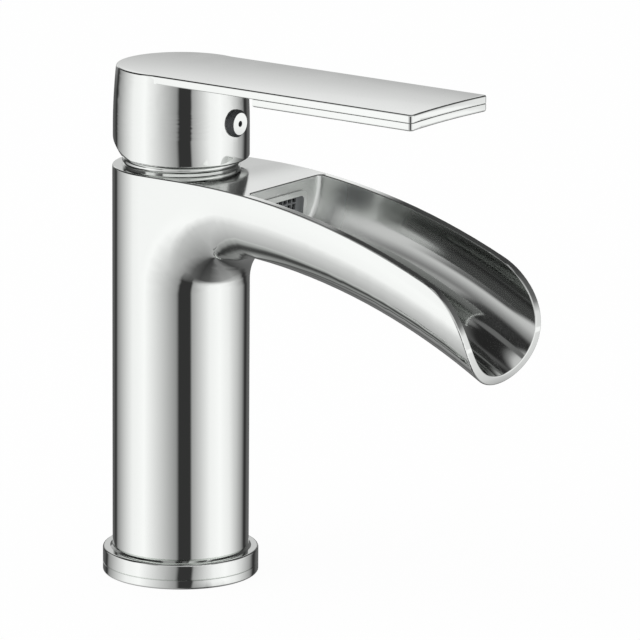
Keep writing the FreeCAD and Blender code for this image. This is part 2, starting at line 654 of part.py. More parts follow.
    # Broken edges along the column's rim, the spout's walls and its lip
    def rim(edge):
        spots = edge.discretize(EDGE_SPOTS)
        low, high = spread(edge)
        straight_across = near(low.x, high.x) and near(low.z, high.z)
        if straight_across and not all(on_back_wall(spot) for spot in spots):
            return False
        return all(on_rim(spot) for spot in spots)

    rounded(body, "edge_round", rim)


# Base ring, its gasket and its o-ring
def band(inner, outer, low, high):
    """The half section of a plain ring."""
    return [(inner, low), (outer, low), (outer, high), (inner, high)]


def base_pieces():
    turned("base_ring", [
        ("ring_bore", "0"),
        ("gasket_inner", "0"),
        ("gasket_inner", "gasket_height"),
        ("gasket_outer", "gasket_height"),
        ("gasket_outer", "0"),
        ("base_ring_radius - base_ring_round", "0", "base_ring_round", 1),
        ("base_ring_radius", "base_ring_round"),
        ("base_ring_radius", "seam_height - seam_width / 2"),
        ("base_ring_radius - seam_depth", "seam_height"),
        ("base_ring_radius", "seam_height + seam_width / 2"),
        ("base_ring_radius", "base_ring_height - base_ring_round", "base_ring_round", 1),
        ("base_ring_radius - base_ring_round", "base_ring_height"),
        ("column_radius + seat_bevel", "base_ring_height"),
        ("column_radius", "column_foot"),
        ("ring_bore", "column_foot"),
    ])
    turned("base_gasket", band("gasket_inner", "gasket_outer", "0", "gasket_height"))
    seal_ring("base_oring", "base_oring_radius", "base_oring_section", "base_oring_height")


# Ceramic cartridge: base with seals, two discs, carrier, housing
PORTS = (("inlet_front", "inlet_side"), ("inlet_front", "-inlet_side"), ("-outlet_back", "0"))


def at_ports(sketch, *radii):
    """Circles about each water port."""
    for across, along in PORTS:
        for radius in radii:
            circle(sketch, across, along, radius)
    return sketch


def ported_disc(name, radius, low, height):
    """A round plate with the three water ports."""
    body = new_body(name)
    feature("Pad", circle(new_sketch(body, "XY_Plane", lift=low), "0", "0", radius), Length=height)
    sketch = at_ports(new_sketch(body, "XY_Plane", lift=low), "port_radius")
    feature("Pocket", sketch, backwards=True, Length=height)
    return body


def port_rings(name, low, height):
    """Three equal seals round the water ports."""
    sketch = new_sketch(new_body(name), "XY_Plane", lift=low)
    feature("Pad", at_ports(sketch, "seal_outer", "seal_outer - seal_wall"), Length=height)


def cartridge_pieces():
    base = ported_disc("cartridge_base", "cartridge_radius", "chamber_floor", "cartridge_base_height")
    sketch = at_ports(new_sketch(base, "XY_Plane", lift="chamber_floor"), "seal_outer")
    feature("Pocket", sketch, backwards=True, Length="port_seal_height")
    sketch = at_ports(new_sketch(base, "XY_Plane", lift="disc_floor"), "seal_outer")
    feature("Pocket", sketch, Length="disc_seal_height")
    port_rings("port_seals", "chamber_floor", "port_seal_height")
    port_rings("disc_seals", "disc_floor - disc_seal_height", "disc_seal_height")
    ported_disc("fixed_disc", "fixed_disc_radius", "disc_floor", "fixed_disc_height")

    # Moving disc with the hollow that joins the ports when the lever is lifted
    disc = new_body("moving_disc")
    sketch = new_sketch(disc, "XY_Plane", lift="moving_floor")
    feature("Pad", circle(sketch, "disc_centre", "0", "moving_disc_radius"), Length="moving_disc_height")
    sketch = new_sketch(disc, "XY_Plane", lift="moving_floor")
    circle(sketch, "disc_centre - mixing_back", "0", "mixing_radius")
    feature("Pocket", sketch, backwards=True, Length="mixing_depth")

    # Carrier with the pocket for the stem's foot
    carrier = new_body("disc_carrier")
    sketch = new_sketch(carrier, "XY_Plane", lift="carrier_base")
    feature("Pad", circle(sketch, "disc_centre", "0", "carrier_radius"), Length="carrier_height")
    sketch = new_sketch(carrier, "XY_Plane", lift="carrier_top")
    outline(sketch, oblong_box("pocket_half", "(stem_half + moving_gap)", "0"))
    feature("Pocket", sketch, Length="carrier_height - carrier_floor")

    turned("cartridge_housing", [
        ("housing_bore", "disc_floor"),
        ("cartridge_radius", "disc_floor"),
        ("cartridge_radius", "cartridge_oring_height - cartridge_oring_section - oring_room"),
        ("cartridge_oring_radius - cartridge_oring_section - oring_room",
         "cartridge_oring_height - cartridge_oring_section - oring_room"),
        ("cartridge_oring_radius - cartridge_oring_section - oring_room",
         "cartridge_oring_height + cartridge_oring_section + oring_room"),
        ("cartridge_radius", "cartridge_oring_height + cartridge_oring_section + oring_room"),
        ("cartridge_radius", "shoulder"),
        ("neck_radius", "shoulder"),
        ("neck_radius", "neck_height"),
        ("lip_opening", "neck_height"),
        ("lip_opening", "neck_height - lip_height"),
        ("housing_bore", "neck_height - lip_height"),
    ])
    seal_ring("cartridge_oring", "cartridge_oring_radius", "cartridge_oring_section",
              "cartridge_oring_height")
    turned("limit_ring", band("lip_opening + moving_gap", "lip_opening + moving_gap + limit_ring_wall",
                              "neck_height", "neck_height + limit_ring_height"))


# Rotor, pin and stem that the lever works
def stem_pieces():
    rotor = turned("stem_rotor", [
        ("0", "rotor_floor"),
        ("rotor_radius", "rotor_floor"),
        ("rotor_radius", "rotor_shoulder"),
        ("rotor_collar", "rotor_shoulder"),
        ("rotor_collar", "rotor_top"),
        ("0", "rotor_top"),
    ])
    sketch = new_sketch(rotor, "XY_Plane", lift="rotor_floor")
    outline(sketch, oblong_box("slot_half", "(stem_half + moving_gap)", "0"))
    feature("Pocket", sketch, backwards=True, Length="rotor_top - rotor_floor")
    sketch = circle(new_sketch(rotor, "XZ_Plane"), "0", "pivot_height", "pin_radius + pin_fit")
    feature("Pocket", sketch, symmetric=True, Length="2 * (rotor_radius + overrun)")

    pin = new_body("stem_pin")
    sketch = circle(new_sketch(pin, "XZ_Plane"), "0", "pivot_height", "pin_radius")
    feature("Pad", sketch, symmetric=True, Length="2 * pin_half")

    # Stem: foot, leg, hub and square shank
    stem = new_body("stem")
    sketch = circle(new_sketch(stem, "XZ_Plane"), "0", "foot_height", "foot_radius")
    feature("Pad", sketch, symmetric=True, Length="2 * stem_half")
    leg = [
        ("-leg_half", "foot_height"),
        ("leg_half", "foot_height"),
        ("leg_half", "pivot_height"),
        ("-leg_half", "pivot_height"),
    ]
    feature("Pad", outline(new_sketch(stem, "XZ_Plane"), leg), symmetric=True, Length="2 * stem_half")
    sketch = circle(new_sketch(stem, "XZ_Plane"), "0", "pivot_height", "stem_hub")
    feature("Pad", sketch, symmetric=True, Length="2 * stem_half")
    shank = [
        ("-stem_half", "pivot_height"),
        ("stem_half", "pivot_height"),
        ("stem_half", "stem_top"),
        ("-stem_half", "stem_top"),
    ]
    feature("Pad", outline(new_sketch(stem, "XZ_Plane"), shank), symmetric=True, Length="2 * stem_half")
    sketch = circle(new_sketch(stem, "XZ_Plane"), "0", "pivot_height", "pin_radius + pin_fit")
    feature("Pocket", sketch, symmetric=True, Length="2 * (stem_half + overrun)")
    rounded(stem, "stem_bevel", lambda edge: near(spread(edge)[0].z, "stem_top"), "Chamfer")


# Ring nut, trim dome and its o-ring
def hexagon(half, middle="0"):
    """The corners of a hexagon about a middle on the sketch's Y axis, flats to the sides."""
    rise = f"{half} / sqrt(3)"
    return [
        (half, f"{middle} - {rise}"),
        (half, f"{middle} + {rise}"),
        ("0", f"{middle} + 2 * {rise}"),
        (f"-{half}", f"{middle} + {rise}"),
        (f"-{half}", f"{middle} - {rise}"),
        ("0", f"{middle} - 2 * {rise}"),
    ]


def cover_pieces():
    nut = new_body("cartridge_nut")
    sketch = circle(new_sketch(nut, "XY_Plane", lift="shoulder"), "0", "0", "nut_radius")
    feature("Pad", sketch, Length="nut_height")
    sketch = outline(new_sketch(nut, "XY_Plane", lift="shoulder + nut_height"), hexagon("nut_hex_half"))
    feature("Pad", sketch, Length="nut_hex_height")
    sketch = circle(new_sketch(nut, "XY_Plane", lift="shoulder"), "0", "0", "neck_radius + cartridge_fit")
    feature("Pocket", sketch, backwards=True, Length="nut_height + nut_hex_height")

    turned("trim_dome", [
        ("dome_bore_wall", "dome_floor"),
        ("dome_radius", "dome_floor"),
        ("dome_radius", "dome_oring_height - dome_oring_section - oring_room"),
        ("dome_oring_radius - dome_oring_section - oring_room",
         "dome_oring_height - dome_oring_section - oring_room"),
        ("dome_oring_radius - dome_oring_section - oring_room",
         "dome_oring_height + dome_oring_section + oring_room"),
        ("dome_radius", "dome_oring_height + dome_oring_section + oring_room"),
        ("dome_radius", "rim_height"),
        ("waist_radius", "rim_height"),
        ("waist_radius", "bead_low", "bead_radius", 1),
        ("waist_radius", "bead_high"),
        ("waist_radius", "waist_top", "dome_radius", 1),
        ("sqrt(dome_radius ^ 2 - dome_height ^ 2)", "dome_top"),
        ("sqrt(dome_bore_wall ^ 2 - dome_height ^ 2)", "dome_top", "dome_bore_wall", -1),
        ("dome_bore_wall", "dome_middle"),
    ])
    seal_ring("dome_oring", "dome_oring_radius", "dome_oring_section", "dome_oring_height")


# Outlet in the trough's back wall: gasket, frame and grid
def outlet_pieces():
    frame = oblong("outlet_half_length", "outlet_half_height", "outlet_corner", "outlet_middle")
    opening = oblong("opening_half_length", "opening_half_height", "opening_corner", "outlet_middle")
    sketch = wall_sketch(new_body("outlet_gasket"), "frame_depth + outlet_gasket_height")
    feature("Pad", outline(outline(sketch, frame), opening), Length="outlet_gasket_height")
    sketch = wall_sketch(new_body("outlet_frame"), "frame_depth")
    feature("Pad", outline(outline(sketch, frame), opening), Length="frame_depth + frame_proud")

    # Grid: a plate with rows of square holes between its bars
    grid = new_body("outlet_grid")
    depth = "grid_setback + grid_thickness"
    feature("Pad", outline(wall_sketch(grid, depth), opening), Length="grid_thickness")
    hole = "((grid_pitch - grid_bar) / 2)"
    column = wall_sketch(grid, "grid_setback")
    for row in range(GRID_ROWS):
        outline(column, oblong_box(hole, hole, f"outlet_middle + {row - (GRID_ROWS - 1) / 2} * grid_pitch"))
    cut = feature("Pocket", column, Length="grid_thickness")
    columns = int(size(f"(opening_half_length - opening_corner - {hole}) / grid_pitch"))
    for backwards in (False, True):
        rows = grid.newObject("PartDesign::LinearPattern", "outlet_grid_rows")
        rows.Originals = [cut]
        rows.Direction = (column, ["H_Axis"])
        rows.Reversed = backwards
        rows.Occurrences = columns + 1
        bind(rows, Length=f"{columns} * grid_pitch")
        grid.Tip = rows
        doc.recompute()


# Handle: knob and lever in one casting, hollow below
def handle():
    body = new_body("handle")

    def lever(start):
        """The plan of the lever from a start to its hollow tip."""
        return [
            (start, "-lever_half_width"),
            ("lever_reach - lever_corner", "-lever_half_width", "lever_corner", 1),
            ("lever_reach", "-(lever_half_width - lever_corner)", "lever_hollow", -1),
            ("lever_reach", "lever_half_width - lever_corner", "lever_corner", 1),
            ("lever_reach - lever_corner", "lever_half_width"),
            (start, "lever_half_width"),
        ]

    def level_edge(height):
        """A test for the edges at a height, but for the one inside the knob."""
        def chosen(edge):
            low, high = spread(edge)
            return near(low.z, height) and near(high.z, height) and high.x > size("overrun")
        return chosen

    # Lever's plate, and the thicker grip under its outer part
    sketch = outline(new_sketch(body, "XY_Plane", lift="plate_under"), lever("0"))
    feature("Pad", sketch, Length="lever_plate")
    rounded(body, "handle_round", level_edge("handle_top"))
    rounded(body, "handle_round", level_edge("plate_under"))
    sketch = outline(new_sketch(body, "XY_Plane", lift="lever_under"), lever("grip_start"))
    feature("Pad", sketch, Length="lever_thickness - lever_plate")
    rounded(body, "grip_round", level_edge("lever_under"))

    # Round knob at the lever's end
    knob = [
        ("0", "rim_height"),
        ("handle_radius", "rim_height"),
        ("handle_radius", "barrel_height", "barrel_radius", 1),
        ("handle_top_radius", "handle_top - handle_round", "handle_round", 1),
        ("handle_top_radius - handle_round", "handle_top"),
        ("0", "handle_top"),
    ]
    feature("Revolution", outline(new_sketch(body, "XZ_Plane"), knob), axis="V_Axis", Angle="360")

    # Hollow inside, with bosses for stem, grub screw and index plug
    cavity = [
        ("0", "rim_height - overrun"),
        ("cavity_radius", "rim_height - overrun"),
        ("cavity_radius", "cavity_step"),
        ("cavity_roof_radius", "cavity_roof"),
        ("0", "cavity_roof"),
    ]
    feature("Groove", outline(new_sketch(body, "XZ_Plane"), cavity), axis="V_Axis", Angle="360")
    sketch = circle(new_sketch(body, "XY_Plane", lift="socket_low"), "0", "0", "socket_radius")
    feature("Pad", sketch, Length="cavity_roof - socket_low")
    sketch = circle(new_sketch(body, "YZ_Plane", lift="stem_half"), "0", "screw_height", "screw_boss")
    feature("Pad", sketch, Length="plug_seat - stem_half")
    sketch = new_sketch(body, "YZ_Plane", lift="plug_seat - plug_boss_wall")
    circle(sketch, "0", "screw_height", "plug_boss")
    feature("Pad", sketch, Length="(cavity_radius + handle_radius) / 2 - plug_seat + plug_boss_wall")
    sketch = new_sketch(body, "XY_Plane", lift="socket_low")
    outline(sketch, oblong_box("socket_half", "socket_half", "0"))
    feature("Pocket", sketch, backwards=True, Length="stem_top - socket_low + moving_gap")
    sketch = new_sketch(body, "YZ_Plane", lift="handle_radius + overrun")
    circle(sketch, "0", "screw_height", "plug_radius + plug_fit")
    feature("Pocket", sketch, Length="plug_depth + overrun")
    sketch = new_sketch(body, "YZ_Plane", lift="handle_radius + overrun")
    circle(sketch, "0", "screw_height", "screw_radius + plug_fit")
    feature("Pocket", sketch, Length="handle_radius + overrun - stem_half")

    # Lower edge, relieved at the rear so that the lever can tip back over the rim
    relief = [
        ("-handle_radius - overrun", "rim_height - overrun"),
        ("handle_radius + overrun", "rim_height - overrun"),
        ("handle_radius + overrun", "rim_height + skirt_front_gap"),
        ("-relief_back", "rim_height + skirt_middle_gap"),
        ("-handle_radius", "rim_height + skirt_rear_gap"),
        ("-handle_radius - overrun", "rim_height + skirt_rear_gap"),
    ]
    sketch = outline(new_sketch(body, "XZ_Plane"), relief)
    feature("Pocket", sketch, symmetric=True, Length="2 * (handle_radius + overrun)")

    # Rounded rear of the skirt, turned about an axis square to the relief
    sweep = [
        ("sweep_inner", "0", "sweep_radius", 1),
        ("sweep_outer", "sweep_height"),
        ("sweep_outer + overrun", "sweep_height"),
        ("sweep_outer + overrun", "-overrun"),
        ("sweep_inner", "-overrun"),
    ]
    start = "rim_height + skirt_middle_gap - relief_rise * relief_back"
    sketch = outline(new_sketch(body, "XZ_Plane", up=start, turn="-atan(relief_rise)"), sweep)
    feature("Groove", sketch, axis="V_Axis", Angle="360")

    # Rounded lower edge in front
    def front_edge(edge):
        low, high = spread(edge)
        below = high.z < size("rim_height + skirt_rear_gap") and high.x > 0
        spots = edge.discretize(EDGE_SPOTS)
        return below and all(near(math.hypot(spot.x, spot.y), "handle_radius") for spot in spots)

    rounded(body, "skirt_round", front_edge)


# Grub screw and index plug in the front of the handle
def screw_and_plug():
    screw = new_body("grub_screw")
    sketch = new_sketch(screw, "YZ_Plane", lift="stem_half")
    feature("Pad", circle(sketch, "0", "screw_height", "screw_radius"), Length="screw_length")
    sketch = new_sketch(screw, "YZ_Plane", lift="stem_half + screw_length")
    feature("Pocket", outline(sketch, hexagon("screw_key_radius", "screw_height")),
            Length="screw_key_depth")

    plug = new_body("index_plug")
    sketch = circle(new_sketch(plug, "YZ_Plane", lift="plug_seat"), "0", "screw_height", "plug_radius")
    feature("Pad", sketch, Length="plug_depth + plug_proud")
    front = "handle_radius + plug_proud"
    rounded(plug, "plug_bevel", lambda edge: near(spread(edge)[0].x, front), "Chamfer")
    sketch = circle(new_sketch(plug, "YZ_Plane", lift=front), "0", "screw_height", "plug_hole")
    feature("Pocket", sketch, Length="plug_hole_depth")


body_casting()
base_pieces()
cartridge_pieces()
stem_pieces()
cover_pieces()
outlet_pieces()
handle()
screw_and_plug()

# One file for each piece, once nothing has failed
doc.recompute()
broken = [item.Name for item in doc.Objects if {"Invalid", "Error"} & set(item.State)]
if broken:
    raise RuntimeError(f"failed objects: {broken}")
os.makedirs("parts", exist_ok=True)
for piece in doc.Objects:
    if piece.TypeId not in ("PartDesign::Body", "Part::Torus"):
        continue
    if piece.Shape.isNull() or not piece.Shape.isValid():
        raise RuntimeError(f"bad shape: {piece.Label}")
    piece.Shape.exportStep(f"parts/{piece.Label}.step")
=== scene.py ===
import math
import bpy
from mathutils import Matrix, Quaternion, Vector


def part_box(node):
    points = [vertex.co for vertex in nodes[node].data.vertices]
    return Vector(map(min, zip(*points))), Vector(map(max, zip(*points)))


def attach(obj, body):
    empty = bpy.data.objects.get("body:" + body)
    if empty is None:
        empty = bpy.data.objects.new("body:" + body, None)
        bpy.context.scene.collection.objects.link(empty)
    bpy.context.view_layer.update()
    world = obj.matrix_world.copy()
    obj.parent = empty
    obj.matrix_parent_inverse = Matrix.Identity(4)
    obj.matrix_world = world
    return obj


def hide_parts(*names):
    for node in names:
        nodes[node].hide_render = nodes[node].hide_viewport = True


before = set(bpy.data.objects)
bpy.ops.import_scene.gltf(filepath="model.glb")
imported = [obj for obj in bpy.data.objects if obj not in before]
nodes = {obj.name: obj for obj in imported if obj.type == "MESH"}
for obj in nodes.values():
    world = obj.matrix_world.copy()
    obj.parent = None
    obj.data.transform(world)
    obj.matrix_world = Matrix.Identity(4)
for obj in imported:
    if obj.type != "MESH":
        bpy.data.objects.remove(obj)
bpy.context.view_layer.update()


# BODY CASTING
# The column and the open half-pipe spout are one brass casting, ground, buffed and plated with
# nickel and bright chrome. The copy below has the casting's facets merged and its normals smoothed,
# because a mirror finish shows every flat facet.
mm = 0.001


def linear(colour):
    """An sRGB hex colour, or a grey from 0 to 255, as linear red, green, blue and alpha."""
    if isinstance(colour, int):
        colour = "#" + 3 * f"{colour:02x}"
    parts = [int(colour[place:place + 2], 16) / 255 for place in (1, 3, 5)]
    return [c / 12.92 if c <= 0.04045 else ((c + 0.055) / 1.055) ** 2.4 for c in parts] + [1.0]


def add(tree, kind, links=(), stops=(), span=(0, 1), **settings):
    """Adds a node, sets its inputs, properties or ramp stops, and links other nodes into it.

    A link is (from node, output, input). A stop is (value, colour), with its value within the span.
    """
    node = tree.nodes.new(kind)
    for name, value in settings.items():
        label = name.replace("_", " ").title()
        if label in node.inputs:
            node.inputs[label].default_value = value
        else:
            setattr(node, name, value)
    for source, output, target in links:
        tree.links.new(source.outputs[output], node.inputs[target])
    if stops:
        low, high = span
        dots = node.color_ramp.elements
        while len(dots) < len(stops):
            dots.new(0.5)
        for dot, (value, colour) in zip(dots, stops):
            dot.position = (value - low) / (high - low)
        for dot, (value, colour) in zip(dots, stops):
            dot.color = linear(colour)
    return node


def finish_of(name, base, metallic, roughness):
    """A new material with its even values on the shader's own sockets."""
    material = bpy.data.materials.new(name)
    material.use_nodes = True
    shader = material.node_tree.nodes["Principled BSDF"]
    shader.inputs["Base Color"].default_value = linear(base)
    shader.inputs["Metallic"].default_value = metallic
    shader.inputs["Roughness"].default_value = roughness
    return material, material.node_tree, shader


# Bright chrome plate: a clear mirror, with a faint haze of wiped-off water in patches of about 15 mm.
# A noise lies mostly between these two values, here and in the finishes that follow.
noise_low, noise_high = 0.3, 0.7
chrome, tree, shader = finish_of("bright_chrome_plate", "#eef0ee", metallic=1.0, roughness=0.035)
place = add(tree, "ShaderNodeTexCoord")
wiped = add(tree, "ShaderNodeTexNoise", [(place, "Object", "Vector")], scale=1 / (15 * mm))
haze = add(tree, "ShaderNodeMapRange", [(wiped, "Fac", "Value")], from_min=noise_low,
           from_max=noise_high, to_min=0.022, to_max=0.06)
tree.links.new(haze.outputs["Result"], shader.inputs["Roughness"])


def polished(node, piece, body, crease=24):
    """A chrome copy of a node with merged facets and smooth normals, which stands for that node."""
    bpy.ops.object.select_all(action="DESELECT")
    copy = nodes[node].copy()
    copy.data = nodes[node].data.copy()
    copy.name = copy.data.name = piece
    copy.parent = None
    bpy.context.scene.collection.objects.link(copy)
    bpy.context.view_layer.objects.active = copy
    copy.select_set(True)
    bpy.ops.object.mode_set(mode="EDIT")
    bpy.ops.mesh.select_all(action="SELECT")
    bpy.ops.mesh.customdata_custom_splitnormals_clear()
    bpy.ops.mesh.remove_doubles(threshold=0.002 * mm)
    bpy.ops.object.mode_set(mode="OBJECT")
    bpy.ops.object.shade_smooth_by_angle(angle=math.radians(crease))
    weighted = copy.modifiers.new("face_weighted_normals", "WEIGHTED_NORMAL")
    weighted.mode = "FACE_AREA"
    weighted.keep_sharp = True
    bpy.ops.object.modifier_apply(modifier=weighted.name)
    copy.data.materials.clear()
    copy.data.materials.append(chrome)
    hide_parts(node)
    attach(copy, body)
    return copy


casting = polished("body_casting", "casting_plated", "tap_body")

# Satin chrome plate: the buffing wheel comes in from the lip, so the trough gets duller to the back.
dull_until, bright_from = 45 * mm, 77 * mm
satin, tree, shader = finish_of("satin_chrome_plate", "#f2f4f2", metallic=1.0, roughness=0.09)
place = add(tree, "ShaderNodeTexCoord")
along = add(tree, "ShaderNodeSeparateXYZ", [(place, "Object", "Vector")])
buffed = add(tree, "ShaderNodeMapRange", [(along, "X", "Value")], from_min=dull_until,
             from_max=bright_from, to_min=0.34, to_max=0.065)
tree.links.new(buffed.outputs["Result"], shader.inputs["Roughness"])
casting.data.materials.append(satin)

# The trough is a pipe of 38.6 mm bent about an axis below the spout, and its normals follow that pipe.
# Its faces lie in the pipe's wall or inside it, in front of the column.
bend_middle = Vector((18 * mm, 0, -110 * mm))
bend_radius = 243.7 * mm
trough_radius = 19.3 * mm
trough_start = 30 * mm
wall_slack = 0.1 * mm
facing_in = 0.9
normals = [corner.vector.copy() for corner in casting.data.corner_normals]
for face in casting.data.polygons:
    for loop in face.loop_indices:
        spot = casting.data.vertices[casting.data.loops[loop].vertex_index].co
        arm = Vector((spot.x, 0, spot.z)) - bend_middle
        depth = max(bend_radius - arm.length, 0)
        inward = arm.normalized() * depth - Vector((0, spot.y, 0))
        if spot.x < trough_start or inward.length > trough_radius + wall_slack:
            break
        on_wall = inward.length > trough_radius - wall_slack
        if on_wall and inward.normalized().dot(face.normal) > facing_in:
            normals[loop] = inward.normalized()
    else:
        face.material_index = casting.data.materials.find(satin.name)
casting.data.normals_split_custom_set(normals)

# Linished chrome plate: the flat deck between column and trough is belted, so its mirror is softer.
deck_start, deck_end, deck_level = 21 * mm, 43 * mm, 130 * mm
facing_up = 0.95
linished, tree, shader = finish_of("linished_chrome_plate", "#eef0ee", metallic=1.0, roughness=0.13)
place = add(tree, "ShaderNodeTexCoord")
wiped = add(tree, "ShaderNodeTexNoise", [(place, "Object", "Vector")], scale=1 / (15 * mm))
haze = add(tree, "ShaderNodeMapRange", [(wiped, "Fac", "Value")], from_min=noise_low,
           from_max=noise_high, to_min=0.12, to_max=0.14)
tree.links.new(haze.outputs["Result"], shader.inputs["Roughness"])
casting.data.materials.append(linished)
for face in casting.data.polygons:
    on_deck = deck_start < face.center.x < deck_end and face.center.z > deck_level
    if on_deck and face.normal.z > facing_up:
        face.material_index = casting.data.materials.find(linished.name)


# BASE RING AND ITS SEALS
# A turned and plated brass ring that the column stands in, with a fine line turned round it.
# Its gasket and o-ring are moulded black rubber, and so are the seals further up in the tap.
polished("base_ring", "base_ring_plated", "tap_body")


def dress(node, material):
    """Gives a CAD node its finish."""
    mesh = nodes[node].data
    mesh.materials.clear()
    mesh.materials.append(material)


# Moulded nitrile rubber: nearly black and dull, with a fine mould grain of about 0.6 mm.
rubber, tree, shader = finish_of("moulded_nitrile_rubber", "#151515", metallic=0.0, roughness=0.75)
place = add(tree, "ShaderNodeTexCoord")
grain = add(tree, "ShaderNodeTexNoise", [(place, "Object", "Vector")], scale=1 / (0.6 * mm))
tone = add(tree, "ShaderNodeValToRGB", [(grain, "Fac", "Fac")],
           stops=((noise_low, "#101010"), (noise_high, "#1f1f1e")))
tree.links.new(tone.outputs["Color"], shader.inputs["Base Color"])
for seal in ("base_gasket", "base_oring", "port_seals", "disc_seals", "cartridge_oring", "dome_oring",
             "outlet_gasket"):
    dress(seal, rubber)


# OUTLET
# An oblong plated frame pressed into the trough's back wall holds a moulded grid that straightens
# the water. The grid is light grey acetal, and the waterway behind it is in shadow.
polished("outlet_frame", "outlet_frame_plated", "tap_body")

# Moulded grey acetal: a satin skin with slight flow marks about 2 mm apart.
acetal_grey, tree, shader = finish_of("moulded_grey_acetal", "#8e9093", metallic=0.0, roughness=0.42)
place = add(tree, "ShaderNodeTexCoord")
flow = add(tree, "ShaderNodeTexNoise", [(place, "Object", "Vector")], scale=1 / (2 * mm))
marks = add(tree, "ShaderNodeMapRange", [(flow, "Fac", "Value")], from_min=noise_low,
            from_max=noise_high, to_min=0.34, to_max=0.52)
tree.links.new(marks.outputs["Result"], shader.inputs["Roughness"])
dress("outlet_grid", acetal_grey)


# CARTRIDGE
# A ceramic cartridge of 35 mm: white acetal base and housing, two lapped alumina discs, a grey
# carrier, rotor and limit ring, and a machined brass ring nut that clamps it in the column.

# Moulded white acetal: a satin skin with flow marks about 3 mm apart.
acetal_white, tree, shader = finish_of("moulded_white_acetal", "#e4e3dc", metallic=0.0, roughness=0.4)
place = add(tree, "ShaderNodeTexCoord")
flow = add(tree, "ShaderNodeTexNoise", [(place, "Object", "Vector")], scale=1 / (3 * mm))
marks = add(tree, "ShaderNodeMapRange", [(flow, "Fac", "Value")], from_min=noise_low,
            from_max=noise_high, to_min=0.33, to_max=0.5)
tree.links.new(marks.outputs["Result"], shader.inputs["Roughness"])
for node in ("cartridge_base", "cartridge_housing"):
    dress(node, acetal_white)

# Glass-filled grey nylon: short fibres give it a slight mottle of about 0.8 mm.
nylon_grey, tree, shader = finish_of("glass_filled_grey_nylon", "#6d6f73", metallic=0.0, roughness=0.5)
place = add(tree, "ShaderNodeTexCoord")
fibres = add(tree, "ShaderNodeTexNoise", [(place, "Object", "Vector")], scale=1 / (0.8 * mm))
tone = add(tree, "ShaderNodeValToRGB", [(fibres, "Fac", "Fac")],
           stops=((noise_low, "#646669"), (noise_high, "#787a7d")))
tree.links.new(tone.outputs["Color"], shader.inputs["Base Color"])
for node in ("stem_rotor", "disc_carrier", "limit_ring"):
    dress(node, nylon_grey)

# Lapped alumina: ivory white, with a close satin from the lapping plate in patches of about 1.5 mm.
alumina, tree, shader = finish_of("lapped_alumina", "#ece8dc", metallic=0.0, roughness=0.22)
place = add(tree, "ShaderNodeTexCoord")
grit = add(tree, "ShaderNodeTexNoise", [(place, "Object", "Vector")], scale=1 / (1.5 * mm))
lapped = add(tree, "ShaderNodeMapRange", [(grit, "Fac", "Value")], from_min=noise_low,
             from_max=noise_high, to_min=0.16, to_max=0.3)
tree.links.new(lapped.outputs["Result"], shader.inputs["Roughness"])
for node in ("fixed_disc", "moving_disc"):
    dress(node, alumina)

# Machined brass: turning marks round the axis, drawn 0.5 mm apart so that they would show.
# The wave texture's own unit gives 20 radians of wave to the metre.
wave_unit = 20
brass, tree, shader = finish_of("machined_brass", "#d2b062", metallic=1.0, roughness=0.28)
place = add(tree, "ShaderNodeTexCoord")
turning = add(tree, "ShaderNodeTexWave", [(place, "Object", "Vector")], wave_type="RINGS",
              rings_direction="Z", scale=math.tau / (0.5 * mm) / wave_unit, distortion=0.4)
cut = add(tree, "ShaderNodeMapRange", [(turning, "Fac", "Value")], to_min=0.22, to_max=0.36)
tree.links.new(cut.outputs["Result"], shader.inputs["Roughness"])
for node in ("cartridge_nut", "stem"):
    dress(node, brass)

# Ground stainless steel, for the stem's pin and the handle's grub screw: a grind of about 0.7 mm.
steel, tree, shader = finish_of("ground_stainless_steel", "#b9bbbd", metallic=1.0, roughness=0.25)
place = add(tree, "ShaderNodeTexCoord")
grit = add(tree, "ShaderNodeTexNoise", [(place, "Object", "Vector")], scale=1 / (0.7 * mm))
ground = add(tree, "ShaderNodeMapRange", [(grit, "Fac", "Value")], from_min=noise_low,
             from_max=noise_high, to_min=0.18, to_max=0.34)
tree.links.new(ground.outputs["Result"], shader.inputs["Roughness"])
for node in ("stem_pin", "grub_screw"):
    dress(node, steel)


# TRIM DOME
# A spun brass dome with a bead round it, plated like the body. It hides the ring nut under the
# handle, and its o-ring holds it in the column.
polished("trim_dome", "trim_dome_plated", "tap_body", crease=40)


# HANDLE
# Knob and lever are one zinc die casting, plated like the body. The index plug is plated too, and
# snaps into the front of the knob over the grub screw.
handle = polished("handle", "handle_plated", "lever")
plug = polished("index_plug", "index_plug_plated", "lever")

# Unbuffed chrome plate: the lever's underside is plated as it left the die, so it stays dull and dark,
# in patches of about 5 mm.
lever_start = 25 * mm
facing_down = -0.9
unbuffed, tree, shader = finish_of("unbuffed_chrome_plate", "#a0a2a0", metallic=1.0, roughness=0.2)
place = add(tree, "ShaderNodeTexCoord")
chill = add(tree, "ShaderNodeTexNoise", [(place, "Object", "Vector")], scale=1 / (5 * mm))
skin = add(tree, "ShaderNodeMapRange", [(chill, "Fac", "Value")], from_min=noise_low,
           from_max=noise_high, to_min=0.16, to_max=0.24)
tree.links.new(skin.outputs["Result"], shader.inputs["Roughness"])
handle.data.materials.append(unbuffed)
for face in handle.data.polygons:
    if face.normal.z < facing_down and face.center.x > lever_start:
        face.material_index = handle.data.materials.find(unbuffed.name)

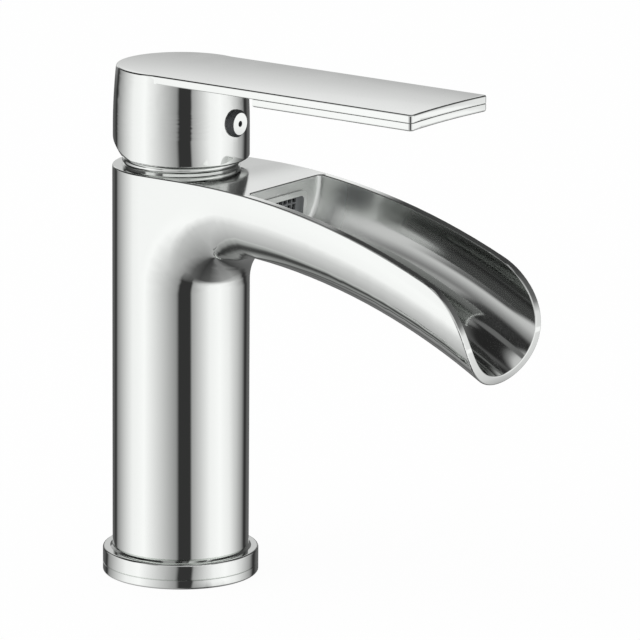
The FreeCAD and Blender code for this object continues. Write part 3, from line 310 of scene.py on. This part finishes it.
# Plug rim and hole, painted shade: the plug's rim and blind hole get a dull dark grey that stands for
# the shade and a dark reflection in the gap round the plug and in its hole, with a roughness noise of
# about 1 mm.
plug_hole_radius = 1.15 * mm
facing_front = 0.8
plug_painted_shade, tree, shader = finish_of("plug_rim_painted_shade", "#4a4c4e", metallic=0.0, roughness=0.35)
place = add(tree, "ShaderNodeTexCoord")
rim_noise = add(tree, "ShaderNodeTexNoise", [(place, "Object", "Vector")], scale=1 / (1 * mm))
grain = add(tree, "ShaderNodeMapRange", [(rim_noise, "Fac", "Value")], from_min=noise_low,
            from_max=noise_high, to_min=0.3, to_max=0.42)
tree.links.new(grain.outputs["Result"], shader.inputs["Roughness"])
plug.data.materials.append(plug_painted_shade)
low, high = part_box("index_plug")
plug_y, plug_z = (low[1] + high[1]) / 2, (low[2] + high[2]) / 2
# The rim's faces and the hole's faces get the painted shade.
for face in plug.data.polygons:
    from_middle = math.hypot(face.center.y - plug_y, face.center.z - plug_z)
    if face.normal.x < facing_front or from_middle < plug_hole_radius:
        face.material_index = plug.data.materials.find(plug_painted_shade.name)


# STUDIO
# A white floor in a white surround, one soft box, and round the tap a light tent, as is used for
# pictures of plated goods: cloth in greys from white to nearly black. Only the mirror finish sees it.

# White studio floor: matt paint with an unevenness of about 40 mm. It is nearly as white as the
# surround where it is looked at, and keeps the tap's shadow.
floor_width = 12
paper_share = 0.95
floor_paint, tree, shader = finish_of("white_studio_floor", "#f6f6f6", metallic=0.0, roughness=0.9)
place = add(tree, "ShaderNodeTexCoord")
rolled = add(tree, "ShaderNodeTexNoise", [(place, "Object", "Vector")], scale=1 / (40 * mm))
matt = add(tree, "ShaderNodeMapRange", [(rolled, "Fac", "Value")], from_min=noise_low,
           from_max=noise_high, to_min=0.86, to_max=0.94)
tree.links.new(matt.outputs["Result"], shader.inputs["Roughness"])
path = add(tree, "ShaderNodeLightPath")
seen = add(tree, "ShaderNodeMath", [(path, "Is Camera Ray", 0), (path, "Is Glossy Ray", 1)],
           operation="MAXIMUM")
seen = add(tree, "ShaderNodeMath", [(seen, "Value", 0), (path, "Is Transmission Ray", 1)],
           operation="MAXIMUM")
share = add(tree, "ShaderNodeMath", [(seen, "Value", 1)], operation="MULTIPLY", value=paper_share)
paper = add(tree, "ShaderNodeEmission")
blend = add(tree, "ShaderNodeMixShader", [(share, "Value", 0), (shader, "BSDF", 1),
                                          (paper, "Emission", 2)])
tree.links.new(blend.outputs["Shader"], tree.nodes["Material Output"].inputs["Surface"])
bpy.ops.object.select_all(action="DESELECT")
bpy.ops.mesh.primitive_plane_add(size=floor_width, location=(0, 0, 0))
floor = bpy.context.object
floor.name = "studio_floor"
floor.data.materials.append(floor_paint)
floor.visible_glossy = False

# White surround: plain white where it is looked at, and a little weaker as a light.
surround_light = 0.85
world = bpy.data.worlds.new("white_surround")
bpy.context.scene.world = world
world.use_nodes = True
tree = world.node_tree
surround = tree.nodes["Background"]
surround.inputs["Color"].default_value = (1, 1, 1, 1)
path = add(tree, "ShaderNodeLightPath")
seen = add(tree, "ShaderNodeMath", [(path, "Is Camera Ray", 0), (path, "Is Glossy Ray", 1)],
           operation="MAXIMUM")
seen = add(tree, "ShaderNodeMath", [(seen, "Value", 0), (path, "Is Transmission Ray", 1)],
           operation="MAXIMUM")
power = add(tree, "ShaderNodeMapRange", [(seen, "Value", "Value")], to_min=surround_light, to_max=1.0)
tree.links.new(power.outputs["Result"], surround.inputs["Strength"])

# The soft box hangs at the left in front and points at the tap.
lit_spot = Vector((0.03, 0, 0.08))
bpy.ops.object.light_add(type="AREA", location=(-0.5, -0.7, 1.4))
lamp = bpy.context.object
lamp.name = "soft_box"
lamp.data.size = 1.2
lamp.data.energy = 6
lamp.rotation_euler = (lit_spot - lamp.location).to_track_quat("-Z", "Y").to_euler()

# The tent is a sphere of half a metre about the tap, and its cloth is shaded by bearing and height.
# Bearings are degrees to the right of the camera, and heights are shares of the radius from its middle.
tent_radius = 0.5
tent_middle = (0.03, 0, 0.1)
tent_glow = 1.15
camera_turn = 36.49
bearings = (-180, 180)
shares = (-1, 1)
bpy.ops.object.select_all(action="DESELECT")
bpy.ops.mesh.primitive_uv_sphere_add(segments=96, ring_count=48, radius=tent_radius,
                                     location=tent_middle)
tent = bpy.context.object
tent.name = "light_tent"
bpy.ops.object.shade_smooth()
cloth = bpy.data.materials.new("tent_cloth")
cloth.use_nodes = True
tree = cloth.node_tree
tree.nodes.remove(tree.nodes["Principled BSDF"])
place = add(tree, "ShaderNodeTexCoord")
turned = add(tree, "ShaderNodeMapping", [(place, "Object", "Vector")],
             rotation=(0, 0, math.radians(90 - camera_turn)))
bearing = add(tree, "ShaderNodeTexGradient", [(turned, "Vector", "Vector")], gradient_type="RADIAL")
axes = add(tree, "ShaderNodeSeparateXYZ", [(place, "Object", "Vector")])
height = add(tree, "ShaderNodeMapRange", [(axes, "Z", "Value")], from_min=-tent_radius,
             from_max=tent_radius)

# Skirt: the cloth at the tap's own height. It is white at both sides and grey behind, with a dark slot
# for the camera and a dark seam at each rear corner.
skirt = add(tree, "ShaderNodeValToRGB", [(bearing, "Fac", "Fac")], span=bearings, stops=(
    (-180, 105), (-148, 85), (-136, 40), (-128, 140), (-88, 240), (-65, 250), (-10, 145), (-7, 110),
    (-5, 50), (14.5, 50), (17.5, 160), (50, 240), (70, 250), (90, 235), (126, 150), (137, 50),
    (143, 50), (152, 90), (180, 105)))

# Walls: above the tap the cloth gets greyer with its height, and it is darker at both rear sides.
fall_off = add(tree, "ShaderNodeValToRGB", [(height, "Result", "Fac")], span=shares, stops=(
    (0.15, 245), (0.25, 230), (0.35, 190), (0.5, 190), (0.6, 180), (0.8, 90)))
dim = add(tree, "ShaderNodeValToRGB", [(bearing, "Fac", "Fac")], span=bearings, stops=(
    (-160, 255), (-150, 70), (-78, 70), (-73, 255), (88, 255), (96, 140), (128, 90), (165.5, 90),
    (169, 255)))
walls = add(tree, "ShaderNodeMixRGB", [(fall_off, "Color", "Color1"), (dim, "Color", "Color2")],
            blend_type="MULTIPLY", fac=1)

# Flap: a dark piece of cloth at the left of the camera, above the tap.
flap = add(tree, "ShaderNodeValToRGB", [(bearing, "Fac", "Fac")], span=bearings, stops=(
    (-58, 0), (-51, 230), (-40, 255), (-37, 0)))
hem = add(tree, "ShaderNodeValToRGB", [(height, "Result", "Fac")], span=shares, stops=(
    (0.2, 0), (0.26, 255), (0.5, 255), (0.56, 0)))
screen = add(tree, "ShaderNodeMath", [(flap, "Color", 0), (hem, "Color", 1)], operation="MULTIPLY")
walls = add(tree, "ShaderNodeMixRGB", [(screen, "Value", "Fac"), (walls, "Color", "Color1")],
            color2=linear(60))

# Roof: nearly black, and lighter only at the left.
roof = add(tree, "ShaderNodeValToRGB", [(bearing, "Fac", "Fac")], span=bearings, stops=(
    (-78, 50), (-72, 150), (-40, 140), (-33, 60), (-25, 40), (20, 40), (125, 75), (145, 60)))
crown = add(tree, "ShaderNodeValToRGB", [(height, "Result", "Fac")], span=shares, stops=(
    (0.76, 0), (0.82, 255)))
walls = add(tree, "ShaderNodeMixRGB", [(crown, "Color", "Fac"), (walls, "Color", "Color1"),
                                       (roof, "Color", "Color2")])

# Strip: at the front and right the roof is lighter, with a dark strip across the spout's direction and
# a grey gap in that strip. Both are placed by shares of the radius along X and Y.
ahead = add(tree, "ShaderNodeMapRange", [(axes, "X", "Value")], from_min=-tent_radius,
            from_max=tent_radius)
abreast = add(tree, "ShaderNodeMapRange", [(axes, "Y", "Value")], from_min=-tent_radius,
              from_max=tent_radius)
strip = add(tree, "ShaderNodeValToRGB", [(ahead, "Result", "Fac")], span=shares, stops=(
    (0.12, 90), (0.16, 35), (0.265, 35), (0.29, 115), (0.315, 190)))
gap = add(tree, "ShaderNodeValToRGB", [(abreast, "Result", "Fac")], span=shares, stops=(
    (-0.26, 0), (-0.24, 255), (-0.12, 255), (-0.08, 0)))
strip = add(tree, "ShaderNodeMixRGB", [(gap, "Color", "Fac"), (strip, "Color", "Color1")],
            color2=linear(97))
over = add(tree, "ShaderNodeValToRGB", [(bearing, "Fac", "Fac")], span=bearings, stops=(
    (-6, 0), (2, 255), (122, 255), (135, 0)))
eaves = add(tree, "ShaderNodeValToRGB", [(height, "Result", "Fac")], span=shares, stops=(
    (0.84, 0), (0.88, 255)))
overhead = add(tree, "ShaderNodeMath", [(over, "Color", 0), (eaves, "Color", 1)],
               operation="MULTIPLY")
walls = add(tree, "ShaderNodeMixRGB", [(overhead, "Value", "Fac"), (walls, "Color", "Color1"),
                                       (strip, "Color", "Color2")])

# Peak: a small grey patch at the very top. The walls then go over into the skirt.
peak = add(tree, "ShaderNodeValToRGB", [(height, "Result", "Fac")], span=shares, stops=(
    (0.988, 0), (0.996, 255)))
walls = add(tree, "ShaderNodeMixRGB", [(peak, "Color", "Fac"), (walls, "Color", "Color1")],
            color2=linear(160))
rise = add(tree, "ShaderNodeValToRGB", [(height, "Result", "Fac")], span=shares, stops=(
    (0.14, 0), (0.27, 255)))
sides = add(tree, "ShaderNodeMixRGB", [(rise, "Color", "Fac"), (skirt, "Color", "Color1"),
                                       (walls, "Color", "Color2")])

# Back: the cloth behind the tap hangs in level folds, tipped a little, and the lever's top mirrors it.
folds_tip = (-0.082, -0.061, 1)
tipped = add(tree, "ShaderNodeVectorMath", [(place, "Object", 1)], operation="DOT_PRODUCT",
             vector=folds_tip)
hung = add(tree, "ShaderNodeMapRange", [(tipped, "Value", "Value")], from_min=-tent_radius,
           from_max=tent_radius)
back = add(tree, "ShaderNodeValToRGB", [(hung, "Result", "Fac")], span=shares, stops=(
    (0.295, 195), (0.315, 165), (0.3425, 230), (0.41, 230), (0.44, 205), (0.47, 140), (0.51, 140),
    (0.57, 75), (0.7, 60)))
rear = add(tree, "ShaderNodeValToRGB", [(bearing, "Fac", "Fac")], span=bearings, stops=(
    (-160, 255), (-140, 0), (165.5, 0), (169, 255)))
lift = add(tree, "ShaderNodeValToRGB", [(height, "Result", "Fac")], span=shares, stops=(
    (-0.03, 0), (0.02, 255)))
behind = add(tree, "ShaderNodeMath", [(rear, "Color", 0), (lift, "Color", 1)], operation="MULTIPLY")
upper = add(tree, "ShaderNodeMixRGB", [(behind, "Value", "Fac"), (sides, "Color", "Color1"),
                                       (back, "Color", "Color2")])

# Bottom: the cloth that the spout's underside mirrors, light at the left and dark at the right.
under = add(tree, "ShaderNodeValToRGB", [(bearing, "Fac", "Fac")], span=bearings, stops=(
    (-180, 110), (-171, 130), (-166, 80), (-150, 150), (-105, 195), (-80, 210), (-20, 170), (8, 95),
    (28, 70), (48, 85), (80, 145), (110, 150), (140, 75), (180, 110)))
sunk = add(tree, "ShaderNodeValToRGB", [(height, "Result", "Fac")], span=shares, stops=(
    (-1.0, 200), (-0.65, 255)))
bottom = add(tree, "ShaderNodeMixRGB", [(under, "Color", "Color1"), (sunk, "Color", "Color2")],
             blend_type="MULTIPLY", fac=1)
below = add(tree, "ShaderNodeValToRGB", [(height, "Result", "Fac")], span=shares, stops=(
    (-0.64, 255), (-0.47, 0)))
lower = add(tree, "ShaderNodeMixRGB", [(below, "Color", "Fac"), (upper, "Color", "Color1"),
                                       (bottom, "Color", "Color2")])

# Card: a narrow white card at the right, just below the middle of the tent.
beside = add(tree, "ShaderNodeValToRGB", [(bearing, "Fac", "Fac")], span=bearings, stops=(
    (88, 0), (92, 255), (108, 255), (114, 0)))
level = add(tree, "ShaderNodeValToRGB", [(height, "Result", "Fac")], span=shares, stops=(
    (-0.115, 0), (-0.105, 255), (-0.06, 255), (-0.045, 0)))
card = add(tree, "ShaderNodeMath", [(beside, "Color", 0), (level, "Color", 1)], operation="MULTIPLY")
whole = add(tree, "ShaderNodeMixRGB", [(card, "Value", "Fac"), (lower, "Color", "Color1")],
            color2=linear(246))
glow = add(tree, "ShaderNodeEmission", [(whole, "Color", "Color")], strength=tent_glow)
tree.links.new(glow.outputs["Emission"], tree.nodes["Material Output"].inputs["Surface"])
tent.data.materials.append(cloth)
tent.visible_camera = False
tent.visible_diffuse = False
tent.visible_transmission = False
tent.visible_shadow = False


# CAMERA
# Stands where the photograph was taken from: two metres off on the hot inlet's side, turned from there
# towards the front of the spout, and looking down a little through a long lens.
camera_off = 2.0
camera_lift = 13.534
camera_roll = 0.405
aim = Vector((36.61 * mm, 27.08 * mm, 84.95 * mm))
turn, lift = math.radians(camera_turn), math.radians(camera_lift)
stand = Vector((math.cos(lift) * math.sin(turn), -math.cos(lift) * math.cos(turn), math.sin(lift)))
bpy.ops.object.camera_add(location=aim + camera_off * stand)
camera = bpy.context.object
level_view = (aim - camera.location).to_track_quat("-Z", "Y")
camera.rotation_euler = (level_view @ Quaternion((0, 0, 1), math.radians(camera_roll))).to_euler()
camera.data.sensor_width = 36
camera.data.lens = 343.32
camera.data.clip_end = 50
bpy.context.scene.camera = camera
bpy.context.scene.view_settings.view_transform = "Standard"
